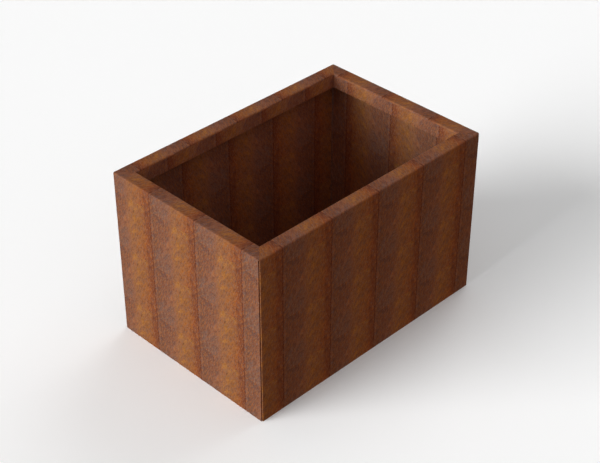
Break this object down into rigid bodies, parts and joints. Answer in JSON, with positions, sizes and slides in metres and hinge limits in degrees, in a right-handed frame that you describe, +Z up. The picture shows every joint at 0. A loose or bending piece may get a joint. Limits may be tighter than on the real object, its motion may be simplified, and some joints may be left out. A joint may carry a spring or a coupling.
{
  "type": "planter box",
  "caption": "Rectangular weathering-steel planter box with open welded corners, a folded inward rim with a down-turned lip, and a raised drained base.",
  "frame": {"origin": "centre of the ground face, on the lower edges of the walls", "axes": "+X along the long side, +Y along the short side, +Z up"},
  "size_m": [1.2, 0.8, 0.75],
  "materials": {
    "weathering_steel": "closed rust patina, orange-brown with violet-grey clouds, matt",
    "weld_bead": "rippled weld bead, rusted, matt",
    "base_steel": "mill sheet with an even brown rust film, matt"
  },
  "bodies": {
    "root": {"wall_front": "weathering_steel", "wall_right": "weathering_steel", "wall_back": "weathering_steel", "wall_left": "weathering_steel", "corner_weld_front_left": "weld_bead", "corner_weld_front_right": "weld_bead", "corner_weld_back_right": "weld_bead", "corner_weld_back_left": "weld_bead", "rim_weld_front_left": "weld_bead", "rim_weld_front_right": "weld_bead", "rim_weld_back_right": "weld_bead", "rim_weld_back_left": "weld_bead", "base_plate": "base_steel", "base_stitches_front": "weld_bead", "base_stitches_right": "weld_bead", "base_stitches_back": "weld_bead", "base_stitches_left": "weld_bead", "runner_left": "base_steel", "runner_middle": "base_steel", "runner_right": "base_steel", "runner_stitches_left": "weld_bead", "runner_stitches_middle": "weld_bead", "runner_stitches_right": "weld_bead"}
  },
  "joints": []
}
